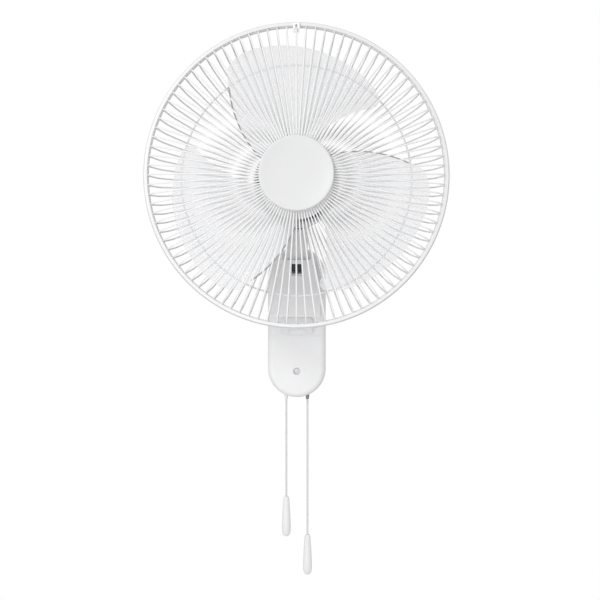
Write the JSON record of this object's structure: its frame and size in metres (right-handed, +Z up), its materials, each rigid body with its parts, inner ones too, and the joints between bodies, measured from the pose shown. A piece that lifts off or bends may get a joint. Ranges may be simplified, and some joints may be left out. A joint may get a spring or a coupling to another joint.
{
  "type": "wall mounted fan",
  "caption": "White wall fan: a caged round head on a tilting and swinging neck, held by an arm on a rounded wall base with hanging pull cords.",
  "frame": {"origin": "centre of the wall face of the mounting bracket", "axes": "+Y into the wall, +Z up, +X to the right for a person who faces the fan"},
  "size_m": [0.4498, 0.2889, 0.8739],
  "materials": {
    "white_plastic": "satin moulded",
    "white_wire": "white powder coat",
    "blade_plastic": "clear tinted gloss",
    "white_cord": "braided",
    "dark_plastic": "matte",
    "zinc_steel": "zinc plated",
    "dark_steel": "bare laminated",
    "copper_wire": "enamelled",
    "brass": "turned",
    "cast_aluminium": "die cast"
  },
  "bodies": {
    "base": {"wall_bracket": "zinc_steel", "base_back_shell": "white_plastic", "base_arm_cover": "white_plastic", "base_switch_cover": "white_plastic", "switch_cover_screw": "zinc_steel", "cable_gland": "dark_plastic", "switch_bracket": "zinc_steel", "speed_switch": "dark_plastic", "swing_switch": "dark_plastic", "speed_switch_spring": "zinc_steel", "swing_switch_spring": "zinc_steel", "speed_cord_guide": "dark_plastic", "swing_cord_guide": "white_plastic", "terminal_block": "dark_plastic", "capacitor": "dark_plastic", "arm": "white_plastic", "arm_foot_cap": "white_plastic", "arm_screw_left": "zinc_steel", "arm_screw_right": "zinc_steel", "tilt_bolt": "zinc_steel", "tilt_nut": "zinc_steel", "hinge_washer_left": "dark_steel", "hinge_washer_right": "dark_steel"},
    "neck": {"neck": "white_plastic", "neck_cover": "white_plastic", "swing_bush": "dark_plastic", "swing_motor": "dark_steel"},
    "crank": {"swing_crank": "brass"},
    "head": {"swing_yoke": "cast_aluminium", "swing_spindle": "zinc_steel", "swing_arm": "zinc_steel", "motor_front_plate": "cast_aluminium", "motor_housing": "white_plastic", "housing_screw_left": "zinc_steel", "housing_screw_right": "zinc_steel", "motor_rear_bracket": "cast_aluminium", "front_bearing": "zinc_steel", "rear_bearing": "zinc_steel", "stator_core": "dark_steel", "front_winding": "copper_wire", "rear_winding": "copper_wire", "rear_guard": "white_wire", "rear_guard_ring": "white_wire", "guard_nut": "white_plastic", "front_guard": "white_wire", "guard_band": "white_wire", "guard_clip": "white_plastic", "front_cap": "white_plastic"},
    "rotor": {"motor_shaft": "zinc_steel", "drive_pin": "zinc_steel", "rotor_core": "dark_steel", "fan_blade": "blade_plastic", "blade_nut": "dark_plastic"},
    "speed_pull": {"speed_plunger": "dark_plastic", "speed_cord": "white_cord", "speed_handle": "white_plastic"},
    "swing_pull": {"swing_plunger": "dark_plastic", "swing_cord": "white_cord", "swing_handle": "white_plastic"}
  },
  "joints": [
    {"name": "tilt", "type": "hinge", "parent": "base", "child": "neck", "pos_m": [0, -0.125, 0.097], "axis": [1, 0, 0], "range_deg": [-12, 20]},
    {"name": "swing", "type": "hinge", "parent": "neck", "child": "head", "pos_m": [0, -0.125, 0.15], "axis": [0, 0, 1], "range_deg": [-45, 45]},
    {"name": "swing_crank_spin", "type": "hinge", "parent": "neck", "child": "crank", "pos_m": [0, -0.1162, 0.125], "axis": [0, 0, 1], "continuous": true},
    {"name": "blade_spin", "type": "hinge", "parent": "head", "child": "rotor", "pos_m": [0, -0.2, 0.22], "axis": [0, 1, 0], "continuous": true},
    {"name": "speed_pull", "type": "slide", "parent": "base", "child": "speed_pull", "axis": [0, 0, -1], "range_m": [0, 0.012], "stiffness_N_per_m": 600, "deforming": ["speed_switch_spring"]},
    {"name": "swing_pull", "type": "slide", "parent": "base", "child": "swing_pull", "axis": [0, 0, -1], "range_m": [0, 0.012], "stiffness_N_per_m": 600, "deforming": ["swing_switch_spring"]}
  ]
}
